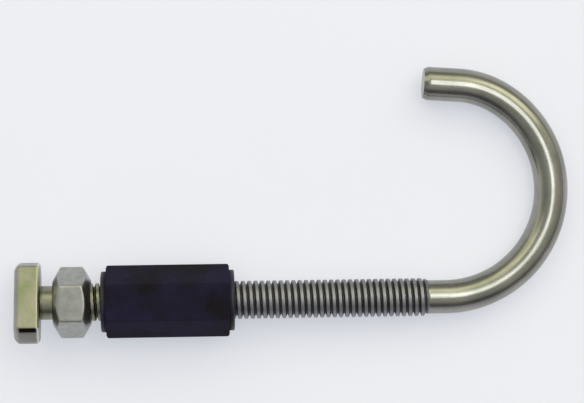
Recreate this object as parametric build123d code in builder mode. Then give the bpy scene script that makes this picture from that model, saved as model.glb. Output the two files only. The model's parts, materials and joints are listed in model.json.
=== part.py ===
from build123d import *
from math import asin, atan2, cos, degrees, hypot, radians, sin, sqrt, tan
import os

# A plant hook for a greenhouse bar, in millimetres. A bolt with a cropped head slides into
# the bar's channel and its nut clamps it there. A hexagon coupler joins the bolt to a J hook
# of threaded rod. Stations along the common screw axis count from the head's bearing face.

# Screw thread, one size on bolt, nut, coupler and hook
thread_diameter = 6.0
thread_pitch = 1.0
thread_depth_share = 0.6134
thread_run_out = 0.8
thread_clearance = 0.05
blank_diameter = 5.35
bore_lead_in = 0.35

# Clamp bolt: a hexagon head cropped on two sides to pass through a channel's mouth
bolt_length = 20.0
neck_length = 2.1
neck_fillet = 0.25
head_flats = 11.9
head_width = 5.6
head_thickness = 4.0
head_corner_radius = 0.9
head_rolled_edge = 1.0
head_edge_break = 0.3
head_roll = -21

# Nut, standing clear of the head and of the coupler
nut_flats = 9.85
nut_thickness = 5.95
nut_end_circle = 7.0
nut_corner_radius = 0.5
clamp_gap = 2.05
coupler_gap = 1.6

# Hexagon coupler with a round rim at each end; the ends of bolt and hook meet inside it
coupler_flats = 10.0
coupler_length = 21.0
coupler_corner_radius = 0.25
shoulder_circle = 10.8
rim_diameter = 9.6
rim_length = 0.8
rim_bevel = 0.2
rod_end_gap = 1.35

# J hook: threaded shank, plain bend that curls in at the end, and a short tip that opens outwards
hook_thread_length = 40.0
plain_length = 2.88
bend_radius = 17.0
bend_angle = 150
curl_radius = 14.0
curl_angle = 26
tip_length = 5.69
tip_bevel_length = 0.7
tip_bevel_depth = 0.3

# The hexagons of nut and coupler are turned to this slope from the end face
hexagon_bevel_angle = 30
cut_overrun = 1.0

# Radii that follow from the sizes above
thread_radius = thread_diameter / 2
blank_radius = blank_diameter / 2
root_radius = thread_radius - thread_depth_share * thread_pitch
bore_radius = thread_radius + thread_clearance
bevel_slope = tan(radians(hexagon_bevel_angle))

# Stations along the screw axis
nut_start = clamp_gap
coupler_start = nut_start + nut_thickness + coupler_gap
coupler_end = coupler_start + coupler_length
hexagon_length = coupler_length - 2 * rim_length
hook_start = bolt_length + rod_end_gap
hook_thread_end = hook_start + hook_thread_length
bend_start = hook_thread_end + plain_length

# At rest on a table the edge of the coupler's shoulder and the far side of the bend touch,
# so the screw axis dips towards the bend by the angle between those two contacts.
edge_station = coupler_end - rim_length
edge_height = coupler_flats / 2
contact_span = bend_start + bend_radius - edge_station
dip = atan2(edge_height, contact_span) - asin(blank_radius / hypot(contact_span, edge_height))
axis_height = edge_height * cos(dip) + edge_station * sin(dip)

# The origin is on the table, in the middle of the object's length and width
half_head_length = head_flats / sqrt(3) * cos(radians(head_roll))
left_reach = head_thickness * cos(dip) + head_width / 2 * sin(dip)
right_reach = (bend_start + bend_radius) * cos(dip) + blank_radius
opening_angle = radians(180 - bend_angle - curl_angle)
bend_rise = bend_radius * (1 - cos(radians(bend_angle)))
curl_rise = curl_radius * (cos(radians(bend_angle)) + cos(opening_angle))
tip_rise = bend_rise + curl_rise + tip_length * sin(opening_angle)
middle_x = (left_reach - right_reach) / 2
middle_y = (half_head_length - tip_rise - blank_radius) / 2

# Hook plane: local x runs along the screw axis, local y towards the tip of the hook
hook_plane = Plane(
    origin=(middle_x, middle_y, axis_height),
    x_dir=(cos(dip), 0, -sin(dip)),
    z_dir=(sin(dip), 0, cos(dip)),
)
screw_axis = Axis(hook_plane.origin, hook_plane.x_dir)
# Cross-sections stand on the screw axis, with local x towards the tip of the hook
section_plane = Plane(hook_plane.origin, x_dir=hook_plane.y_dir, z_dir=hook_plane.x_dir)


def turned_envelope(start, length, flats, end_circle):
    """Half section of a turned bar whose end cones bevel a hexagon down to its end circles."""
    outer = flats / sqrt(3) + cut_overrun
    bevel = (outer - end_circle / 2) * bevel_slope
    end = start + length
    return [
        (start, 0),
        (start, end_circle / 2),
        (start + bevel, outer),
        (end - bevel, outer),
        (end, end_circle / 2),
        (end, 0),
    ]


def tapped_bore(start, length):
    """Half section of a through bore with a countersunk lead-in at each end."""
    end = start + length
    mouth = bore_radius + bore_lead_in + cut_overrun
    return [
        (start - cut_overrun, 0),
        (start - cut_overrun, mouth),
        (start + bore_lead_in, bore_radius),
        (end - bore_lead_in, bore_radius),
        (end + cut_overrun, mouth),
        (end + cut_overrun, 0),
    ]


os.makedirs("parts", exist_ok=True)

# Clamp bolt: the head is cropped from a hexagon, and the press rolls its outer edges over
with BuildPart() as bolt:
    with BuildSketch(section_plane) as head_outline:
        RegularPolygon(head_flats / 2, side_count=6, major_radius=False, rotation=head_roll)
        Rectangle(head_flats + head_width, head_width, rotation=head_roll, mode=Mode.INTERSECT)
        fillet(head_outline.vertices(), radius=head_corner_radius)
    extrude(amount=-head_thickness)
    head_ends = bolt.faces().filter_by(screw_axis).sort_by(screw_axis)
    fillet(head_ends[0].edges(), radius=head_rolled_edge)
    chamfer(head_ends[-1].edges(), length=head_edge_break)
    with BuildSketch(hook_plane):
        with BuildLine():
            Line((-head_thickness / 2, 0), (-head_thickness / 2, blank_radius + neck_fillet))
            Line((-head_thickness / 2, blank_radius + neck_fillet), (0, blank_radius + neck_fillet))
            CenterArc((neck_fillet, blank_radius + neck_fillet), neck_fillet, 180, 90)
            Polyline(
                (neck_fillet, blank_radius),
                (neck_length, blank_radius),
                (neck_length + thread_run_out, thread_radius),
                (bolt_length - thread_radius + root_radius, thread_radius),
                (bolt_length, root_radius),
                (bolt_length, 0),
                (-head_thickness / 2, 0),
            )
        make_face()
    revolve(axis=screw_axis)
bolt.part.label = "bolt"
export_step(bolt.part, "parts/bolt.step")

# Nut: a hexagon bevelled at both ends, with a countersunk tapped bore
with BuildPart() as nut:
    with BuildSketch(section_plane.offset(nut_start)):
        RegularPolygon(nut_flats / 2, side_count=6, major_radius=False)
    extrude(amount=nut_thickness)
    fillet(nut.edges().filter_by(screw_axis), radius=nut_corner_radius)
    with BuildSketch(hook_plane):
        with BuildLine():
            Polyline(turned_envelope(nut_start, nut_thickness, nut_flats, nut_end_circle), close=True)
        make_face()
    revolve(axis=screw_axis, mode=Mode.INTERSECT)
    with BuildSketch(hook_plane):
        with BuildLine():
            Polyline(tapped_bore(nut_start, nut_thickness), close=True)
        make_face()
    revolve(axis=screw_axis, mode=Mode.SUBTRACT)
nut.part.label = "nut"
export_step(nut.part, "parts/nut.step")

# Coupler: a long hexagon sleeve with turned rims, tapped right through
with BuildPart() as coupler:
    with BuildSketch(section_plane.offset(coupler_start + rim_length)):
        RegularPolygon(coupler_flats / 2, side_count=6, major_radius=False)
    extrude(amount=hexagon_length)
    fillet(coupler.edges().filter_by(screw_axis), radius=coupler_corner_radius)
    with BuildSketch(hook_plane):
        with BuildLine():
            Polyline(
                turned_envelope(
                    coupler_start + rim_length, hexagon_length, coupler_flats, shoulder_circle
                ),
                close=True,
            )
        make_face()
    revolve(axis=screw_axis, mode=Mode.INTERSECT)
    with BuildSketch(hook_plane):
        with BuildLine():
            Polyline(
                (coupler_start, 0),
                (coupler_start, rim_diameter / 2 - rim_bevel),
                (coupler_start + rim_bevel, rim_diameter / 2),
                (coupler_end - rim_bevel, rim_diameter / 2),
                (coupler_end, rim_diameter / 2 - rim_bevel),
                (coupler_end, 0),
                close=True,
            )
        make_face()
    revolve(axis=screw_axis)
    with BuildSketch(hook_plane):
        with BuildLine():
            Polyline(tapped_bore(coupler_start, coupler_length), close=True)
        make_face()
    revolve(axis=screw_axis, mode=Mode.SUBTRACT)
coupler.part.label = "coupler"
export_step(coupler.part, "parts/coupler.step")

# J hook: one rod, its shank thickened by the rolled thread, then bent round to the tip
with BuildPart() as hook:
    with BuildSketch(hook_plane):
        with BuildLine():
            Polyline(
                (hook_start, 0),
                (hook_start, root_radius),
                (hook_start + thread_radius - root_radius, thread_radius),
                (hook_thread_end - thread_run_out, thread_radius),
                (hook_thread_end, blank_radius),
                (hook_thread_end, 0),
                close=True,
            )
        make_face()
    revolve(axis=screw_axis)
    with BuildLine(hook_plane) as rod_line:
        plain = Line((hook_thread_end, 0), (bend_start, 0))
        bend = JernArc(plain @ 1, plain % 1, radius=bend_radius, arc_size=bend_angle)
        curl = JernArc(bend @ 1, bend % 1, radius=curl_radius, arc_size=curl_angle)
        tip = Line(curl @ 1, curl @ 1 + (curl % 1) * (tip_length - tip_bevel_length))
    with BuildSketch(section_plane.offset(hook_thread_end)):
        Circle(blank_radius)
    sweep()
    with BuildSketch(Plane(tip @ 1, z_dir=tip % 1)):
        Circle(blank_radius)
    extrude(amount=tip_bevel_length, taper=degrees(atan2(tip_bevel_depth, tip_bevel_length)))
hook.part.label = "hook"
export_step(hook.part, "parts/hook.step")
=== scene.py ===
import json

import bpy
import numpy as np
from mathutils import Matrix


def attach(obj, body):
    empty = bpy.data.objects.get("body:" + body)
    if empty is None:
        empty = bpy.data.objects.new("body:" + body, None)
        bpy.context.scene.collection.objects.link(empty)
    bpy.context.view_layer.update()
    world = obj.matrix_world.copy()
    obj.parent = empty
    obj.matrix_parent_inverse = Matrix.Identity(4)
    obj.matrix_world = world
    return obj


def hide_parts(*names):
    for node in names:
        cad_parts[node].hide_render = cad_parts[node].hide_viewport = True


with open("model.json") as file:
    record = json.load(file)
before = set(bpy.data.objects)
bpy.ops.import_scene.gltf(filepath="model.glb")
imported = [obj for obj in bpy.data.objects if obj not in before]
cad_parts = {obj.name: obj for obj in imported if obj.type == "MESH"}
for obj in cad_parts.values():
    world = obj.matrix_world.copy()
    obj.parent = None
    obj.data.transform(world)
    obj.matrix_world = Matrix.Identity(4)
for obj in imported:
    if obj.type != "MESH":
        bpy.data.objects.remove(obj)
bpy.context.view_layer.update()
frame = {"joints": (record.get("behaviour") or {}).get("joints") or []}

# Clamp bolt. A steel forging whose hexagon head is cropped on two sides, so that it drops into a bar's
# channel; the press rolled its outer edges over. The M6 thread is rolled on the shank, and the whole bolt
# is zinc plated, with the olive tint of a thin passivate.
MM = 0.001
BOLT_LENGTH = 20.0
NECK_LENGTH = 2.1
NECK_FILLET = 0.25
HEAD_FLATS = 11.9
HEAD_WIDTH = 5.6
HEAD_THICKNESS = 4.0
HEAD_ROLLED_EDGE = 1.0
HEAD_ROLL_POWER = 1.6
HEAD_SHEARED_CORNER = 5.68
HEAD_SHEAR_ANGLE = 139
HEAD_EDGE_BREAK = 0.3
HEAD_ROLL = np.radians(-21)
THREAD_PITCH = 1.0
THREAD_RADIUS = 3.0
THREAD_DEPTH_SHARE = 0.6134
ROOT_RADIUS = THREAD_RADIUS - THREAD_DEPTH_SHARE * THREAD_PITCH
# Shares of half a pitch. The rest is the crest, wider than in the standard profile, as in the photograph.
ROOT_FLAT_SHARE = 0.1
FLANK_SHARE = 0.42
# A hair under the solid's 2.675 mm, so that the skin stays inside the CAD model's box.
BLANK_RADIUS = 2.66
RUN_OUT = 0.8
ROWS_PER_TURN = 16
BEVEL_SLOPE = np.tan(np.radians(30))
COUPLER_START = 9.6
SHARP_EDGE = np.radians(35)
LEAST_COSINE = 0.05

turning = {joint["name"]: joint for joint in frame["joints"]}["coupler_turn"]
screw_axis = np.array(turning["axis"])
screw_origin = np.array(turning["pos_m"]) - COUPLER_START * MM * screw_axis
to_tip = np.array([0.0, 1.0, 0.0])
to_top = np.cross(screw_axis, to_tip)


def turned(stations, radii):
    """Points of a shape round the screw axis: row i stands at station i, and its radius varies with angle."""
    angle = np.linspace(0, 2 * np.pi, radii.shape[1], endpoint=False)
    spoke = np.cos(angle)[:, None] * to_tip + np.sin(angle)[:, None] * to_top
    return screw_origin + MM * (stations[:, None, None] * screw_axis + radii[:, :, None] * spoke)


def skin(name, points, ring=False):
    """Closed mesh over a grid of points whose rows close on themselves. In a ring the last row joins the
    first; otherwise a fan to the middle of the first row and one to the middle of the last close the ends."""
    rows, columns, _ = points.shape
    corner = np.arange(rows * columns).reshape(rows, columns)
    low, high = (corner, np.roll(corner, -1, axis=0)) if ring else (corner[:-1], corner[1:])
    quads = np.stack([low, np.roll(low, -1, axis=1), np.roll(high, -1, axis=1), high], axis=-1)
    faces = quads.reshape(-1, 4).tolist()
    places = points.reshape(-1, 3)
    if not ring:
        places = np.vstack([places, points[0].mean(axis=0), points[-1].mean(axis=0)])
        first_pole = np.full(columns, rows * columns)
        faces += np.stack([first_pole, np.roll(corner[0], -1), corner[0]], axis=-1).tolist()
        faces += np.stack([first_pole + 1, corner[-1], np.roll(corner[-1], -1)], axis=-1).tolist()
    mesh = bpy.data.meshes.new(name)
    mesh.from_pydata(places, [], faces)
    mesh.polygons.foreach_set("use_smooth", np.ones(len(mesh.polygons), dtype=bool))
    mesh.set_sharp_from_angle(angle=SHARP_EDGE)
    piece = bpy.data.objects.new(name, mesh)
    bpy.context.scene.collection.objects.link(piece)
    return piece


def soft_least(radii, sharpness):
    """Smooth smallest of several radii: the inverse powers are added and rooted, which rounds each edge."""
    return sum(radius ** -sharpness for radius in radii) ** (-1 / sharpness)


def facet(angle, normal_angle, distance):
    """Radius at which a spoke meets a flat face, its distance over the cosine of the angle between them."""
    return distance / np.maximum(np.cos(angle - normal_angle), LEAST_COSINE)


def rolled_thread(station, angle, start, end, fades_at_start=False, fades_at_end=False):
    """Radius of a right-hand thread: a triangle wave of the station less the turn's share of the pitch, cut
    off flat at crest and root. It fades into the blank's radius over the run-out; a plain end is bevelled."""
    wave = np.abs(2 * ((station / THREAD_PITCH - angle / (2 * np.pi)) % 1) - 1)
    height = np.clip((wave - ROOT_FLAT_SHARE) / FLANK_SHARE, 0, 1)
    radius = ROOT_RADIUS + (THREAD_RADIUS - ROOT_RADIUS) * height
    share = np.ones_like(station)
    if fades_at_start:
        share = share * np.clip((station - start) / RUN_OUT, 0, 1)
    else:
        radius = np.minimum(radius, ROOT_RADIUS + (station - start))
    if fades_at_end:
        share = share * np.clip((end - station) / RUN_OUT, 0, 1)
    else:
        radius = np.minimum(radius, ROOT_RADIUS + (end - station))
    return BLANK_RADIUS + (radius - BLANK_RADIUS) * share


columns = 240
angle = np.linspace(0, 2 * np.pi, columns, endpoint=False)[None, :]


def head_outline(station):
    """Radius of the head: the least of the hexagon's four flanks, the two cropped faces and the flat that
    the shear left at one corner of each. All draw in along a superellipse at the outer end and a bevel at
    the seat."""
    left = np.clip(1 - (station + HEAD_THICKNESS) / HEAD_ROLLED_EDGE, 0, 1)
    rolled = HEAD_ROLLED_EDGE * (1 - (1 - left**HEAD_ROLL_POWER) ** (1 / HEAD_ROLL_POWER))
    drawn_in = rolled + np.maximum(HEAD_EDGE_BREAK + station, 0)
    sides = [facet(angle, np.radians(a) + HEAD_ROLL, HEAD_FLATS / 2 - drawn_in) for a in (30, 150, 210, 330)]
    flanks = soft_least(sides, sharpness=24)
    crops = [
        (90, HEAD_WIDTH / 2), (270, HEAD_WIDTH / 2),
        (HEAD_SHEAR_ANGLE, HEAD_SHEARED_CORNER), (HEAD_SHEAR_ANGLE + 180, HEAD_SHEARED_CORNER),
    ]
    sheared = [facet(angle, np.radians(a) + HEAD_ROLL, reach - drawn_in) for a, reach in crops]
    return soft_least([flanks, *sheared], sharpness=140)


outer_share = np.array([0.05, 0.3, 0.6, 0.85, 0.95, 0.985])[:, None]
outer_face = outer_share * head_outline(np.array([[-HEAD_THICKNESS]]))
side = np.concatenate([
    -HEAD_THICKNESS + HEAD_ROLLED_EDGE * (1 - np.cos(np.linspace(0, np.pi / 2, 14))),
    np.linspace(-HEAD_THICKNESS + HEAD_ROLLED_EDGE, -HEAD_EDGE_BREAK, 13)[1:],
    np.linspace(-HEAD_EDGE_BREAK, 0, 5)[1:],
])
fillet_turn = np.linspace(0, np.pi / 2, 6)
fillet_radius = BLANK_RADIUS + NECK_FILLET * (1 - np.sin(fillet_turn))
seat_share = np.array([0.985, 0.9, 0.6, 0.3])[:, None]
seat_face = fillet_radius[0] + seat_share * (head_outline(np.array([[0.0]])) - fillet_radius[0])
neck = np.linspace(NECK_FILLET, NECK_LENGTH, 6)[1:-1]
shank = np.linspace(NECK_LENGTH, BOLT_LENGTH, int((BOLT_LENGTH - NECK_LENGTH) * ROWS_PER_TURN))
bolt_stations = np.concatenate([
    np.full(len(outer_share), -HEAD_THICKNESS), side, np.zeros(len(seat_share)),
    NECK_FILLET * (1 - np.cos(fillet_turn)), neck, shank,
])
plain = np.ones((1, columns))
bolt_radii = np.vstack([
    outer_face, head_outline(side[:, None]), seat_face, fillet_radius[:, None] * plain,
    np.full((len(neck), columns), BLANK_RADIUS),
    rolled_thread(shank[:, None] + 0 * angle, angle, NECK_LENGTH, BOLT_LENGTH, fades_at_start=True),
])
bolt = skin("clamp_bolt", turned(bolt_stations, bolt_radii))


def linear(hex_colour):
    """An sRGB hex colour as the linear RGBA that Blender's sockets take."""
    srgb = np.array([int(hex_colour[i:i + 2], 16) / 255 for i in (1, 3, 5)])
    return (*np.where(srgb <= 0.04045, srgb / 12.92, ((srgb + 0.055) / 1.055) ** 2.4), 1.0)


def add(tree, kind, inputs=None, **settings):
    """Adds a node, applies its settings, and fills or links its inputs by name or number."""
    made = tree.nodes.new(kind)
    for name, value in settings.items():
        setattr(made, name, value)
    for socket, value in (inputs or {}).items():
        if isinstance(value, bpy.types.NodeSocket):
            tree.links.new(value, made.inputs[socket])
        else:
            made.inputs[socket].default_value = value
    return made


def new_material(piece, name):
    """A material of one Principled shader on the piece, and its tree and shader."""
    material = bpy.data.materials.new(name)
    material.use_nodes = True
    piece.data.materials.append(material)
    return material.node_tree, material.node_tree.nodes["Principled BSDF"]


def mark(piece, name, values):
    """Stores one number per vertex, with zeros for the poles that the skin added."""
    attribute = piece.data.attributes.new(name, "FLOAT", "POINT")
    padded = np.resize(np.append(values.ravel(), [0, 0]), len(piece.data.vertices))
    attribute.data.foreach_set("value", padded)


# Painted shade darkens the thread, from 0 on the crest to 1 at the root, and the corner under the head.
PAINTED_SHADE_REACH = 4.0
bolt_rows = bolt_stations[:, None]
thread_depth = np.clip((THREAD_RADIUS - bolt_radii) / (THREAD_RADIUS - ROOT_RADIUS), 0, 1)
corner_depth = np.clip(1 - (bolt_radii - BLANK_RADIUS) / PAINTED_SHADE_REACH, 0, 1)
in_corner = (bolt_rows >= 0) & (bolt_rows < NECK_FILLET)
mark(bolt, "groove", np.where(bolt_rows > NECK_LENGTH, thread_depth, np.where(in_corner, corner_depth, 0)))
# The olive film lies on the two cropped faces and on the shank; flanks and rolled edges stay zinc grey. The
# flat that the shear left at one corner of each cropped face is painted near-black as shade, and a painted
# highlight runs along the edge of the seat. Angles are in degrees from the head's long axis, distances in
# millimetres from the seat.
CROPPED_FROM, CROPPED_TO, FLAT_SHADE_TO = 29, 151, 158.5
ROLLED_SHARE = 0.8
FLAT_SHADE_MIDDLE, FLAT_SHADE_HALF_LENGTH = 1.75, 1.35
SEAT_HIGHLIGHT_MIDDLE, SEAT_HIGHLIGHT_WIDTH = 0.2, 0.14
head_angle = np.degrees(angle - HEAD_ROLL) % 180
past_roll = bolt_rows > -HEAD_THICKNESS + ROLLED_SHARE * HEAD_ROLLED_EDGE
cropped = (head_angle > CROPPED_FROM) & (head_angle < CROPPED_TO) & past_roll
shade_span = np.abs(bolt_rows + FLAT_SHADE_MIDDLE) < FLAT_SHADE_HALF_LENGTH
shade_on_flat = (head_angle > CROPPED_TO) & (head_angle < FLAT_SHADE_TO) & shade_span
mark(bolt, "olive", np.where(bolt_rows > 0, 1.0, cropped))
# Painted shade: the sheared flat is marked to be coloured near-black.
mark(bolt, "sheared_flat_shade", np.where(shade_on_flat, 1.0, 0.0))
# Painted highlight: a pale band along the edge of the seat.
mark(bolt, "seat_highlight", np.exp(-((bolt_rows + SEAT_HIGHLIGHT_MIDDLE) / SEAT_HIGHLIGHT_WIDTH) ** 2) * plain)
tree, shader = new_material(bolt, "zinc plate with olive passivate")
place = add(tree, "ShaderNodeTexCoord").outputs["Object"]
# The passivate pools in clouds some millimetres wide, and the plating has a grain of tenths of a millimetre.
clouds = add(tree, "ShaderNodeTexNoise", {"Vector": place, "Scale": 1 / (4.0 * MM), "Detail": 3.0})
grain = add(tree, "ShaderNodeTexNoise", {"Vector": place, "Scale": 1 / (0.3 * MM), "Detail": 2.0})
pooled = add(tree, "ShaderNodeMapRange", {0: clouds.outputs["Fac"], 1: 0.36, 2: 0.64})
film = add(tree, "ShaderNodeMix", {0: pooled.outputs[0], 6: linear("#7b8469"), 7: linear("#96928a")},
           data_type="RGBA")
zinc = add(tree, "ShaderNodeMix", {0: pooled.outputs[0], 6: linear("#94948d"), 7: linear("#a1a19a")},
           data_type="RGBA")
olive = add(tree, "ShaderNodeAttribute", attribute_name="olive")
tint = add(tree, "ShaderNodeMix", {0: olive.outputs["Fac"], 6: zinc.outputs[2], 7: film.outputs[2]},
           data_type="RGBA")
# Painted highlight: the seat's edge is mixed towards a pale colour.
seat_highlight = add(tree, "ShaderNodeAttribute", attribute_name="seat_highlight")
tint = add(tree, "ShaderNodeMix", {0: seat_highlight.outputs["Fac"], 6: tint.outputs[2], 7: linear("#dadacb")},
           data_type="RGBA")
groove = add(tree, "ShaderNodeAttribute", attribute_name="groove")
# Painted shade: the thread's roots and the corner under the head are mixed towards a dark grey.
painted_shade = add(tree, "ShaderNodeMath", {0: groove.outputs["Fac"], 1: 0.75}, operation="MULTIPLY")
colour = add(tree, "ShaderNodeMix", {0: painted_shade.outputs[0], 6: tint.outputs[2], 7: linear("#4a473c")},
             data_type="RGBA")
# Painted shade: the sheared flat is coloured near-black.
sheared_flat_shade = add(tree, "ShaderNodeAttribute", attribute_name="sheared_flat_shade")
colour = add(tree, "ShaderNodeMix", {0: sheared_flat_shade.outputs["Fac"], 6: colour.outputs[2], 7: linear("#262322")},
             data_type="RGBA")
dullness = add(tree, "ShaderNodeMapRange", {0: grain.outputs["Fac"], 1: 0.3, 2: 0.7, 3: 0.27, 4: 0.4})
relief = add(tree, "ShaderNodeBump",
             {"Height": grain.outputs["Fac"], "Strength": 0.12, "Distance": 0.02 * MM})
tree.links.new(colour.outputs[2], shader.inputs["Base Color"])
tree.links.new(dullness.outputs[0], shader.inputs["Roughness"])
tree.links.new(relief.outputs[0], shader.inputs["Normal"])
shader.inputs["Metallic"].default_value = 1.0
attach(bolt, "bolt")
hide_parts("bolt")

# Nut. A cold-formed M6 hexagon nut of steel, bevelled at both ends, in dull zinc plate. It runs on the
# bolt's thread and stands a little clear of the head, ready to clamp a bar's lips against it.
NUT_START = 2.05
NUT_THICKNESS = 5.95
NUT_FLATS = 9.85
NUT_END_CIRCLE = 7.0
BORE_RADIUS = 3.05
BORE_LEAD_IN = 0.35
NUT_BEVEL_REACH = 1.7


def hexagon_bar(depth, length, flats, end_circle, sharpness):
    """Radius of a hexagon bar at a depth from its end: the least of the six flats and a 30-degree end cone
    at each end, whose radius grows with the depth over the cone's slope."""
    flat_radii = [facet(angle, np.radians(a), flats / 2) + 0 * depth for a in (30, 90, 150, 210, 270, 330)]
    cones = [end_circle / 2 + gap / BEVEL_SLOPE + 0 * angle for gap in (depth, length - depth)]
    return soft_least([*flat_radii, *cones], sharpness)


def tapped_wall(length, rim_radius):
    """Depths and radii of the way back inside: over the end face, the lead-in, the bore and the other end."""
    mouth = BORE_RADIUS + BORE_LEAD_IN
    face = mouth + np.array([0.97, 0.5, 0.03]) * (rim_radius - mouth)
    radii = np.concatenate([face, [mouth, BORE_RADIUS, BORE_RADIUS, mouth], face[::-1]])
    depths = [length, length, length, length, length - BORE_LEAD_IN, BORE_LEAD_IN, 0, 0, 0, 0]
    return np.array(depths), radii[:, None] * plain


nut_bevel = np.linspace(0, NUT_BEVEL_REACH, 26)
nut_middle = np.linspace(NUT_BEVEL_REACH, NUT_THICKNESS - NUT_BEVEL_REACH, 8)[1:-1]
nut_depths = np.concatenate([nut_bevel, nut_middle, NUT_THICKNESS - nut_bevel[::-1]])
nut_outer = hexagon_bar(nut_depths[:, None], NUT_THICKNESS, NUT_FLATS, NUT_END_CIRCLE, sharpness=50)
inner_depths, nut_inner = tapped_wall(NUT_THICKNESS, nut_outer[0].min())
nut_stations = NUT_START + np.append(nut_depths, inner_depths)
nut = skin("clamp_nut", turned(nut_stations, np.vstack([nut_outer, nut_inner])), ring=True)
tree, shader = new_material(nut, "dull zinc plate")
place = add(tree, "ShaderNodeTexCoord").outputs["Object"]
# Barrel plating leaves soft blotches and fine knocks from the other nuts in the barrel.
blotch = add(tree, "ShaderNodeTexNoise", {"Vector": place, "Scale": 1 / (1.2 * MM), "Detail": 5.0})
knocks = add(tree, "ShaderNodeTexNoise", {"Vector": place, "Scale": 1 / (0.45 * MM), "Detail": 3.0})
cloudy = add(tree, "ShaderNodeMapRange", {0: blotch.outputs["Fac"], 1: 0.3, 2: 0.7})
colour = add(tree, "ShaderNodeMix", {0: cloudy.outputs[0], 6: linear("#999a96"), 7: linear("#aeafab")},
             data_type="RGBA")
dullness = add(tree, "ShaderNodeMapRange", {0: knocks.outputs["Fac"], 1: 0.3, 2: 0.7, 3: 0.28, 4: 0.38})
relief = add(tree, "ShaderNodeBump",
             {"Height": knocks.outputs["Fac"], "Strength": 0.15, "Distance": 0.03 * MM})
tree.links.new(colour.outputs[2], shader.inputs["Base Color"])
tree.links.new(dullness.outputs[0], shader.inputs["Roughness"])
tree.links.new(relief.outputs[0], shader.inputs["Normal"])
shader.inputs["Metallic"].default_value = 1.0
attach(nut, "nut")
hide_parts("nut")

# Coupler. A long hexagon sleeve moulded in black nylon and tapped right through, bevelled at both ends.
# The bolt screws into one end and the hook into the other, and the plastic grips both threads.
COUPLER_LENGTH = 21.0
COUPLER_FLATS = 10.0
COUPLER_SHOULDER_CIRCLE = 10.8
RIM_LENGTH = 0.8
RIM_RADIUS = 4.8
RIM_ROUNDING = 0.25
HEXAGON_BEVEL_REACH = 0.6

rim_turn = np.linspace(0, np.pi / 2, 6)
rim_depths = np.append(RIM_ROUNDING * (1 - np.sin(rim_turn[::-1])), RIM_LENGTH)
rim_radii = np.append(RIM_RADIUS - RIM_ROUNDING * (1 - np.cos(rim_turn[::-1])), RIM_RADIUS)[:, None] * plain
hexagon_length = COUPLER_LENGTH - 2 * RIM_LENGTH
hexagon_bevel = np.linspace(0, HEXAGON_BEVEL_REACH, 12)
hexagon_middle = np.linspace(HEXAGON_BEVEL_REACH, hexagon_length - HEXAGON_BEVEL_REACH, 16)[1:-1]
hexagon_depths = np.concatenate([hexagon_bevel, hexagon_middle, hexagon_length - hexagon_bevel[::-1]])
hexagon_radii = hexagon_bar(
    hexagon_depths[:, None], hexagon_length, COUPLER_FLATS, COUPLER_SHOULDER_CIRCLE, sharpness=120)
inner_depths, coupler_inner = tapped_wall(COUPLER_LENGTH, RIM_RADIUS - RIM_ROUNDING)
coupler_depths = np.concatenate([
    rim_depths, RIM_LENGTH + hexagon_depths, COUPLER_LENGTH - rim_depths[::-1], inner_depths])
coupler_radii = np.vstack([rim_radii, hexagon_radii, rim_radii[::-1], coupler_inner])
coupler = skin("hexagon_coupler", turned(COUPLER_START + coupler_depths, coupler_radii), ring=True)
# The nut and the rod rub the rims smooth.
on_rim = (coupler_depths < RIM_LENGTH) | (coupler_depths > COUPLER_LENGTH - RIM_LENGTH)
mark(coupler, "rubbed", on_rim[:, None] * plain)
tree, shader = new_material(coupler, "black moulded nylon")
place = add(tree, "ShaderNodeTexCoord").outputs["Object"]
# Moulded nylon has a faint blue-black cast, a matt grain of a quarter of a millimetre and flow clouds.
flow = add(tree, "ShaderNodeTexNoise", {"Vector": place, "Scale": 1 / (6.0 * MM), "Detail": 3.0})
pores = add(tree, "ShaderNodeTexNoise", {"Vector": place, "Scale": 1 / (0.25 * MM), "Detail": 2.0})
streaks = add(tree, "ShaderNodeMapRange", {0: flow.outputs["Fac"], 1: 0.36, 2: 0.64})
colour = add(tree, "ShaderNodeMix", {0: streaks.outputs[0], 6: linear("#0d0a12"), 7: linear("#17142e")},
             data_type="RGBA")
grained = add(tree, "ShaderNodeMapRange", {0: pores.outputs["Fac"], 1: 0.3, 2: 0.7, 3: 0.68, 4: 0.84})
rubbed = add(tree, "ShaderNodeAttribute", attribute_name="rubbed").outputs["Fac"]
dullness = add(tree, "ShaderNodeMath", {0: rubbed, 1: -0.3, 2: grained.outputs[0]}, operation="MULTIPLY_ADD")
shine = add(tree, "ShaderNodeMapRange", {0: rubbed, 3: 0.15, 4: 0.5})
relief = add(tree, "ShaderNodeBump",
             {"Height": pores.outputs["Fac"], "Strength": 0.25, "Distance": 0.03 * MM})
tree.links.new(colour.outputs[2], shader.inputs["Base Color"])
tree.links.new(dullness.outputs[0], shader.inputs["Roughness"])
tree.links.new(relief.outputs[0], shader.inputs["Normal"])
shader.inputs["IOR"].default_value = 1.53
tree.links.new(shine.outputs[0], shader.inputs["Specular IOR Level"])
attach(coupler, "coupler")
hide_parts("coupler")

# J hook. One length of bright zinc-plated steel rod: a thread rolled on its straight shank swells the rod
# to 6 mm over the crests, then a cold bend round a former and a short tip, cut and bevelled.
HOOK_START = 21.35
HOOK_THREAD_LENGTH = 40.0
PLAIN_LENGTH = 2.88
BEND_RADIUS = 17.0
BEND_ANGLE = np.radians(150)
CURL_RADIUS = 14.0
CURL_ANGLE = np.radians(26)
TIP_LENGTH = 5.69
TIP_BEVEL_LENGTH = 0.7
TIP_BEVEL_DEPTH = 0.3

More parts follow.
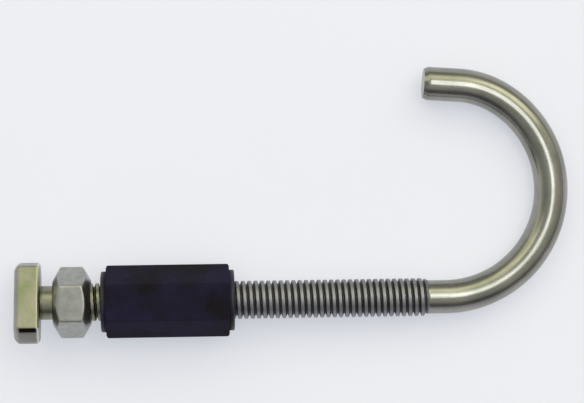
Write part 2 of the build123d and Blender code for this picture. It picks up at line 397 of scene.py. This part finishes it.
thread_end = HOOK_START + HOOK_THREAD_LENGTH
bend_start = thread_end + PLAIN_LENGTH
curl_start = bend_start + BEND_RADIUS * BEND_ANGLE
tip_start = curl_start + CURL_RADIUS * CURL_ANGLE
rod_end = tip_start + TIP_LENGTH
way = np.concatenate([
    np.linspace(HOOK_START, thread_end, int(HOOK_THREAD_LENGTH * ROWS_PER_TURN)),
    np.linspace(thread_end, bend_start, 10)[1:],
    np.linspace(bend_start, curl_start, 136)[1:],
    np.linspace(curl_start, tip_start, 25)[1:],
    np.linspace(tip_start, rod_end - TIP_BEVEL_LENGTH, 12)[1:],
    np.linspace(rod_end - TIP_BEVEL_LENGTH, rod_end, 5)[1:],
])
rod_columns = 96
rod_angle = np.linspace(0, 2 * np.pi, rod_columns, endpoint=False)[None, :]
on_thread = way[:, None] < thread_end
bevel = np.clip((way - rod_end + TIP_BEVEL_LENGTH) / TIP_BEVEL_LENGTH, 0, 1) * TIP_BEVEL_DEPTH
threaded = rolled_thread(way[:, None] + 0 * rod_angle, rod_angle, HOOK_START, thread_end, fades_at_end=True)
rod_radii = np.where(on_thread, threaded, BLANK_RADIUS - bevel[:, None])
end_share = np.array([0.9, 0.5, 0.1])
way = np.concatenate([np.full(3, HOOK_START), way, np.full(3, rod_end)])
rod_radii = np.vstack([end_share[::-1, None] * rod_radii[0], rod_radii, end_share[:, None] * rod_radii[-1]])


def bent_rod(way, radii):
    """Points round a rod that runs straight, round the bend, round the curl and straight on. The heading
    grows with the way along each arc, the middle line follows the arcs' sines and cosines, and the spokes
    of each section stand on the heading's normal and the hook plane's normal."""
    in_bend = np.clip((way - bend_start) / BEND_RADIUS, 0, BEND_ANGLE)
    heading = in_bend + np.clip((way - curl_start) / CURL_RADIUS, 0, CURL_ANGLE)
    past = np.maximum(way - tip_start, 0)
    forward = (np.minimum(way, bend_start) + BEND_RADIUS * np.sin(in_bend)
               + CURL_RADIUS * (np.sin(heading) - np.sin(in_bend)) + past * np.cos(heading))
    sideways = (BEND_RADIUS * (1 - np.cos(in_bend)) + CURL_RADIUS * (np.cos(in_bend) - np.cos(heading))
                + past * np.sin(heading))
    centre = forward[:, None] * screw_axis + sideways[:, None] * to_tip
    normal = -np.sin(heading)[:, None] * screw_axis + np.cos(heading)[:, None] * to_tip
    spoke = np.cos(rod_angle)[..., None] * normal[:, None] + np.sin(rod_angle)[..., None] * to_top
    return screw_origin + MM * (centre[:, None] + radii[..., None] * spoke)


hook = skin("j_hook", bent_rod(way, rod_radii))
mark(hook, "groove", np.where(way[:, None] < thread_end,
                              np.clip((THREAD_RADIUS - rod_radii) / (THREAD_RADIUS - ROOT_RADIUS), 0, 1), 0))
mark(hook, "threaded", np.where(way[:, None] < thread_end, 1.0, 0 * rod_radii))
# Where each point lay in the straight rod, before the bend: drawing marks run along it.
straight = np.stack(
    [way[:, None] + 0 * rod_angle, rod_radii * np.cos(rod_angle), rod_radii * np.sin(rod_angle)], axis=-1)
drawn = hook.data.attributes.new("drawn", "FLOAT_VECTOR", "POINT")
drawn.data.foreach_set("vector", np.append(straight.ravel() * MM, np.zeros(6)))
tree, shader = new_material(hook, "bright zinc-plated steel")
rod_place = add(tree, "ShaderNodeAttribute", attribute_name="drawn").outputs["Vector"]
# The die leaves marks tens of times longer than wide, and a faint haze in the plating comes and goes.
stretched = add(tree, "ShaderNodeMapping", {"Vector": rod_place, "Scale": (0.04, 1, 1)})
die_marks = add(tree, "ShaderNodeTexNoise",
                {"Vector": stretched.outputs[0], "Scale": 1 / (0.25 * MM), "Detail": 2.0})
haze = add(tree, "ShaderNodeTexNoise", {"Vector": rod_place, "Scale": 1 / (5.0 * MM), "Detail": 3.0})
hazy = add(tree, "ShaderNodeMapRange", {0: haze.outputs["Fac"], 1: 0.3, 2: 0.7})
tint = add(tree, "ShaderNodeMix", {0: hazy.outputs[0], 6: linear("#888981"), 7: linear("#9e9d96")},
           data_type="RGBA")
# The rolls leave the thread greyer and duller than the rod, and painted shade darkens its roots.
threaded = add(tree, "ShaderNodeAttribute", attribute_name="threaded").outputs["Fac"]
tint = add(tree, "ShaderNodeMix", {0: threaded, 6: tint.outputs[2], 7: linear("#939498")}, data_type="RGBA")
groove = add(tree, "ShaderNodeAttribute", attribute_name="groove")
# Painted shade: the thread's roots are mixed towards a dark grey.
painted_shade = add(tree, "ShaderNodeMath", {0: groove.outputs["Fac"], 1: 0.6}, operation="MULTIPLY")
colour = add(tree, "ShaderNodeMix", {0: painted_shade.outputs[0], 6: tint.outputs[2], 7: linear("#38373e")},
             data_type="RGBA")
polish = add(tree, "ShaderNodeMapRange", {0: die_marks.outputs["Fac"], 1: 0.3, 2: 0.7, 3: 0.17, 4: 0.29})
dullness = add(tree, "ShaderNodeMath", {0: threaded, 1: 0.26, 2: polish.outputs[0]}, operation="MULTIPLY_ADD")
relief = add(tree, "ShaderNodeBump",
             {"Height": die_marks.outputs["Fac"], "Strength": 0.1, "Distance": 0.01 * MM})
tree.links.new(colour.outputs[2], shader.inputs["Base Color"])
tree.links.new(dullness.outputs[0], shader.inputs["Roughness"])
tree.links.new(relief.outputs[0], shader.inputs["Normal"])
shader.inputs["Metallic"].default_value = 1.0
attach(hook, "hook")
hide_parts("hook")

# Table. A sheet of pale, faintly lavender card that the object lies on, wide enough to fill every view. It is
# part of the stage and not of the object.
TABLE_SIZE = 2.4
PLAIN_SHARE = 0.55
half = TABLE_SIZE / 2
table_mesh = bpy.data.meshes.new("table")
corners = [(-half, -half, 0), (half, -half, 0), (half, half, 0), (-half, half, 0)]
table_mesh.from_pydata(corners, [], [(0, 1, 2, 3)])
table = bpy.data.objects.new("table", table_mesh)
bpy.context.scene.collection.objects.link(table)
tree, shader = new_material(table, "pale card")
place = add(tree, "ShaderNodeTexCoord").outputs["Object"]
fibres = add(tree, "ShaderNodeTexNoise", {"Vector": place, "Scale": 1 / (30.0 * MM), "Detail": 2.0})
colour = add(tree, "ShaderNodeMix", {0: fibres.outputs["Fac"], 6: linear("#eceaf2"), 7: linear("#efeef3")},
             data_type="RGBA")
tree.links.new(colour.outputs[2], shader.inputs["Base Color"])
shader.inputs["Roughness"].default_value = 0.7
# Part of the card that the eye or the metal sees is its plain cool colour, so the shadows on it stay light.
path = add(tree, "ShaderNodeLightPath").outputs
seen = add(tree, "ShaderNodeMath", {0: path["Is Camera Ray"], 1: path["Is Glossy Ray"]}, operation="MAXIMUM")
seen = add(tree, "ShaderNodeMath", {0: seen.outputs[0], 1: path["Is Transmission Ray"]}, operation="MAXIMUM")
share = add(tree, "ShaderNodeMath", {0: seen.outputs[0], 1: PLAIN_SHARE}, operation="MULTIPLY")
plain_card = add(tree, "ShaderNodeEmission", {"Color": linear("#e6eaf5"), "Strength": 1.0})
card = add(tree, "ShaderNodeMixShader", {0: share.outputs[0], 1: shader.outputs[0], 2: plain_card.outputs[0]})
tree.links.new(card.outputs[0], tree.nodes["Material Output"].inputs["Surface"])

# Light. A soft box hangs above the hook's bend, two cream panels stand on the tip's side, and a wide sheet of
# light hangs over the whole table. The room is grey, with a cream wall on the tip's side, a dark one opposite
# and a pale horizon, so that the metal has something to show.
ROOM_STRENGTH = 2.5
SIDEWAYS_WEIGHT = 4.0


def area_lamp(name, width, length, power, place, tint="#ffffff"):
    """A round or oval lamp at a place, tilted to face the middle of the table."""
    light = bpy.data.lights.new(name, "AREA")
    light.shape = "ELLIPSE"
    light.size = width
    light.size_y = length
    light.energy = power
    light.color = linear(tint)[:3]
    lamp = bpy.data.objects.new(name, light)
    lamp.location = place
    lamp.rotation_euler = (-np.arctan(place[1] / place[2]), np.arctan(place[0] / place[2]), 0)
    bpy.context.scene.collection.objects.link(lamp)
    return lamp


area_lamp("soft_box", 0.18, 0.24, 0.32, (0.117, 0.07, 0.45))
area_lamp("far_panel", 0.42, 0.42, 0.56, (0.49, 0.49, 0.58), "#fff6dc")
area_lamp("near_panel", 0.28, 0.28, 0.24, (-0.37, 0.37, 0.73), "#fff6dc")
sheet = area_lamp("light_sheet", 2.0, 2.0, 6.4, (0.0, 0.55, 1.1))
sheet.visible_glossy = False

world = bpy.data.worlds.new("room")
world.use_nodes = True
bpy.context.scene.world = world
tree = world.node_tree
heading = add(tree, "ShaderNodeTexCoord").outputs["Generated"]
direction = add(tree, "ShaderNodeSeparateXYZ", {0: heading}).outputs


def wall(along, stops):
    """Colour of the room by the angle from overhead along one axis, from one horizon to the other."""
    lean = add(tree, "ShaderNodeMath", {0: direction[along], 1: direction["Z"]}, operation="ARCTAN2")
    share = add(tree, "ShaderNodeMapRange", {0: lean.outputs[0], 1: -np.pi / 2, 2: np.pi / 2})
    ramp = add(tree, "ShaderNodeValToRGB", {0: share.outputs[0]})
    ramp.color_ramp.elements.remove(ramp.color_ramp.elements[1])
    for degrees, hex_colour in stops:
        ramp.color_ramp.elements.new((degrees + 90) / 180).color = linear(hex_colour)
    return ramp.outputs["Color"]


across = wall("Y", [(-83, "#b0afb6"), (-77, "#706f74"), (-69, "#3d3a42"), (-56, "#3f3c42"), (-46, "#565456"),
                    (-34, "#7e7e7a"), (-12, "#838380"), (16, "#838380"), (30, "#b4b498"), (45, "#dcdbc0"),
                    (54, "#d0cfb4"), (64, "#787764"), (76, "#65655c"), (86, "#77767a")])
lengthways = wall("X", [(-86, "#b4b4b0"), (-72, "#90908a"), (-58, "#70726a"), (-40, "#686a62"),
                        (-22, "#7b8077"), (8, "#8c8f88"), (36, "#98978d"), (60, "#7f7d75"), (86, "#6a686c")])
square_x = add(tree, "ShaderNodeMath", {0: direction["X"], 1: 2.0}, operation="POWER").outputs[0]
square_y = add(tree, "ShaderNodeMath", {0: direction["Y"], 1: 2.0}, operation="POWER").outputs[0]
# The room's colour passes from one ramp to the other by how far a direction leans along the rod.
both = add(tree, "ShaderNodeMath", {0: square_y, 1: SIDEWAYS_WEIGHT, 2: square_x},
           operation="MULTIPLY_ADD").outputs[0]
leaning = add(tree, "ShaderNodeMath", {0: square_x, 1: both}, operation="DIVIDE").outputs[0]
room = add(tree, "ShaderNodeMix", {0: leaning, 6: across, 7: lengthways}, data_type="RGBA")
tree.links.new(room.outputs[2], tree.nodes["Background"].inputs["Color"])
tree.nodes["Background"].inputs["Strength"].default_value = ROOM_STRENGTH

# Camera. It looks straight down on the object from about arm's length, with the screw axis rising a
# little to the right of the picture, and takes in the photograph's frame.
FRAME_WIDTH = 92.4 * MM
CAMERA_DISTANCE = 350 * MM
AXIS_PLANE = 5 * MM
CAMERA_ALONG = 39.91 * MM
CAMERA_ACROSS = 15.45 * MM
CAMERA_TURN = np.radians(-0.78)
camera_data = bpy.data.cameras.new("camera")
camera_data.lens = camera_data.sensor_width * CAMERA_DISTANCE / FRAME_WIDTH
camera = bpy.data.objects.new("camera", camera_data)
camera_height = AXIS_PLANE + CAMERA_DISTANCE
camera.location = (screw_origin[0] + CAMERA_ALONG, screw_origin[1] + CAMERA_ACROSS, camera_height)
camera.rotation_euler = (0, 0, CAMERA_TURN)
bpy.context.scene.collection.objects.link(camera)
bpy.context.scene.camera = camera
bpy.context.scene.view_settings.view_transform = "Standard"
